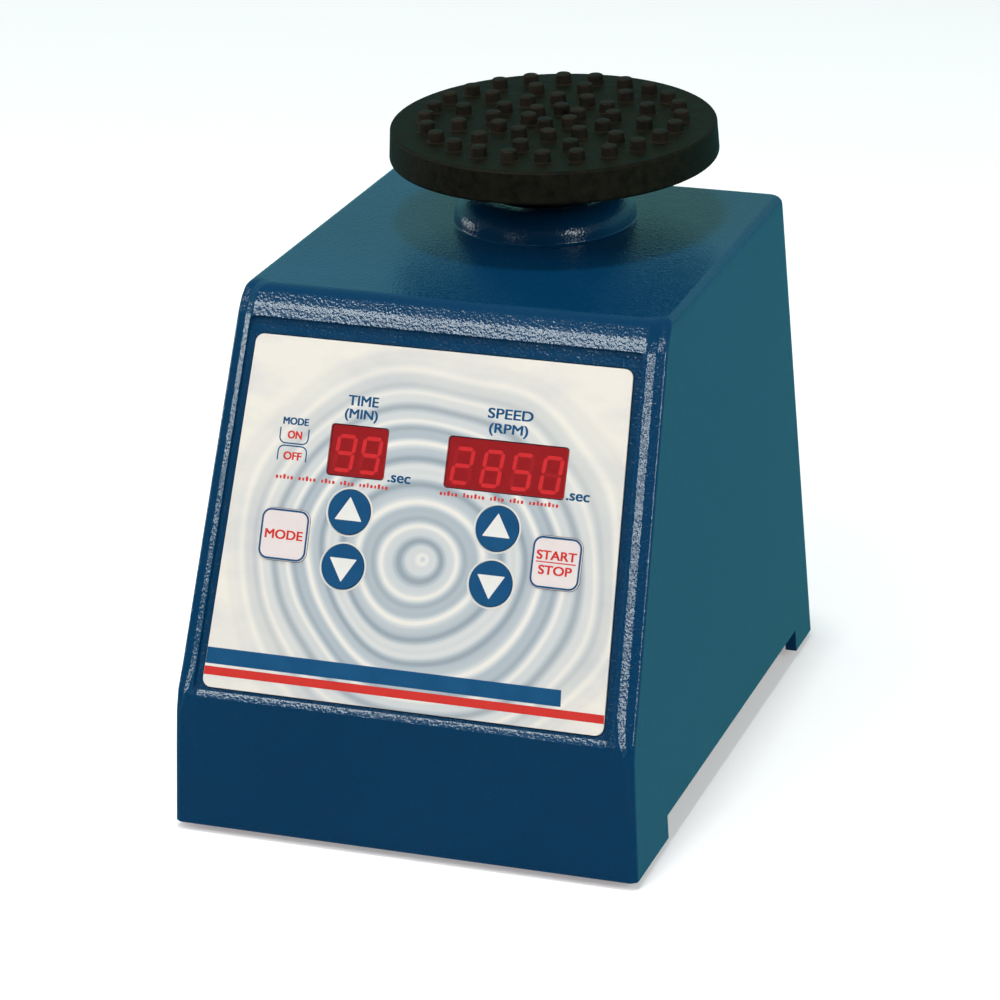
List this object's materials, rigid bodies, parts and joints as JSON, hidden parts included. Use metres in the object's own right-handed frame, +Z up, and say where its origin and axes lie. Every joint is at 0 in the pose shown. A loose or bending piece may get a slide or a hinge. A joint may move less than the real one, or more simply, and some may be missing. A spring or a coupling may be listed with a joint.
{
  "type": "vortex mixer",
  "caption": "Desktop laboratory vortex mixer: wedge-shaped blue housing, sloped digital key panel and a round studded rubber platform that orbits.",
  "frame": {"origin": "on the support surface under the middle of the housing", "axes": "+X to the user's right, +Y to the rear, +Z up; the panel faces -Y"},
  "size_m": [0.1214, 0.1581, 0.1564],
  "materials": {
    "painted_blue": "hammered gloss enamel",
    "zinc_steel": "zinc plated",
    "black_rubber": "matt moulded",
    "panel_white": "printed film",
    "filter_red": "tinted clear plastic",
    "black_plastic": "fine texture",
    "circuit_green": "solder resist",
    "lamination_steel": "stacked sheet",
    "copper_wire": "enamelled copper",
    "cast_aluminium": "as cast",
    "bearing_steel": "ground",
    "grey_plastic": "moulded",
    "key_blue": "satin moulded",
    "key_white": "satin moulded"
  },
  "bodies": {
    "base": {"housing_shell": "painted_blue", "base_plate": "zinc_steel", "base_screw_front_left": "zinc_steel", "base_screw_front_right": "zinc_steel", "base_screw_rear_left": "zinc_steel", "base_screw_rear_right": "zinc_steel", "motor_bolt_1": "zinc_steel", "motor_bolt_2": "zinc_steel", "motor_bolt_3": "zinc_steel", "motor_bolt_4": "zinc_steel", "foot_front_left": "black_rubber", "foot_front_right": "black_rubber", "foot_rear_left": "black_rubber", "foot_rear_right": "black_rubber", "splash_seal": "black_rubber", "panel_overlay": "panel_white", "time_window": "filter_red", "speed_window": "filter_red", "time_display": "black_plastic", "speed_display": "black_plastic", "time_up_switch": "black_plastic", "time_down_switch": "black_plastic", "speed_up_switch": "black_plastic", "speed_down_switch": "black_plastic", "mode_switch": "black_plastic", "start_stop_switch": "black_plastic", "controller_chip": "black_plastic", "filter_capacitor": "black_plastic", "touch_switch": "black_plastic", "power_inlet": "black_plastic", "display_board": "circuit_green", "power_board": "circuit_green", "transformer": "lamination_steel", "motor_stator": "lamination_steel", "winding_upper": "copper_wire", "winding_lower": "copper_wire", "motor_bracket_upper": "cast_aluminium", "motor_bracket_lower": "cast_aluminium", "bearing_upper": "bearing_steel", "bearing_lower": "bearing_steel"},
    "time_up_key": {"time_up_key": "key_blue"},
    "time_down_key": {"time_down_key": "key_blue"},
    "speed_up_key": {"speed_up_key": "key_blue"},
    "speed_down_key": {"speed_down_key": "key_blue"},
    "mode_key": {"mode_key": "key_white"},
    "start_stop_key": {"start_stop_key": "key_white"},
    "press_carriage": {"thrust_collar": "zinc_steel", "return_spring": "bearing_steel", "touch_pad": "grey_plastic"},
    "rotor": {"motor_shaft": "bearing_steel", "rotor_core": "lamination_steel", "cooling_fan": "grey_plastic", "eccentric_hub": "cast_aluminium", "counterweight": "zinc_steel"},
    "head": {"head_bearing": "bearing_steel", "head_stem": "cast_aluminium", "platform_disc": "cast_aluminium", "platform_screw": "zinc_steel", "platform_cover": "black_rubber"}
  },
  "joints": [
    {"name": "touch_press", "type": "slide", "parent": "base", "child": "press_carriage", "axis": [0, 0, -1], "range_m": [0, 0.002], "stiffness_N_per_m": 2000, "springref_m": -0.004, "deforming": ["return_spring"]},
    {"name": "motor_spin", "type": "hinge", "parent": "press_carriage", "child": "rotor", "pos_m": [0, 0.036, 0.05], "axis": [0, 0, 1], "continuous": true},
    {"name": "head_orbit", "type": "hinge", "parent": "rotor", "child": "head", "pos_m": [0.003, 0.036, 0.1], "axis": [0, 0, 1], "continuous": true},
    {"name": "time_up_key_press", "type": "slide", "parent": "base", "child": "time_up_key", "axis": [0, 0.9024, -0.431], "range_m": [0, 0.0004], "stiffness_N_per_m": 600, "springref_m": -0.0008},
    {"name": "time_down_key_press", "type": "slide", "parent": "base", "child": "time_down_key", "axis": [0, 0.9024, -0.431], "range_m": [0, 0.0004], "stiffness_N_per_m": 600, "springref_m": -0.0008},
    {"name": "speed_up_key_press", "type": "slide", "parent": "base", "child": "speed_up_key", "axis": [0, 0.9024, -0.431], "range_m": [0, 0.0004], "stiffness_N_per_m": 600, "springref_m": -0.0008},
    {"name": "speed_down_key_press", "type": "slide", "parent": "base", "child": "speed_down_key", "axis": [0, 0.9024, -0.431], "range_m": [0, 0.0004], "stiffness_N_per_m": 600, "springref_m": -0.0008},
    {"name": "mode_key_press", "type": "slide", "parent": "base", "child": "mode_key", "axis": [0, 0.9024, -0.431], "range_m": [0, 0.0004], "stiffness_N_per_m": 600, "springref_m": -0.0008},
    {"name": "start_stop_key_press", "type": "slide", "parent": "base", "child": "start_stop_key", "axis": [0, 0.9024, -0.431], "range_m": [0, 0.0004], "stiffness_N_per_m": 600, "springref_m": -0.0008}
  ],
  "couplings": [
    {"joint": "head_orbit", "follows": "motor_spin", "ratio": -1}
  ]
}
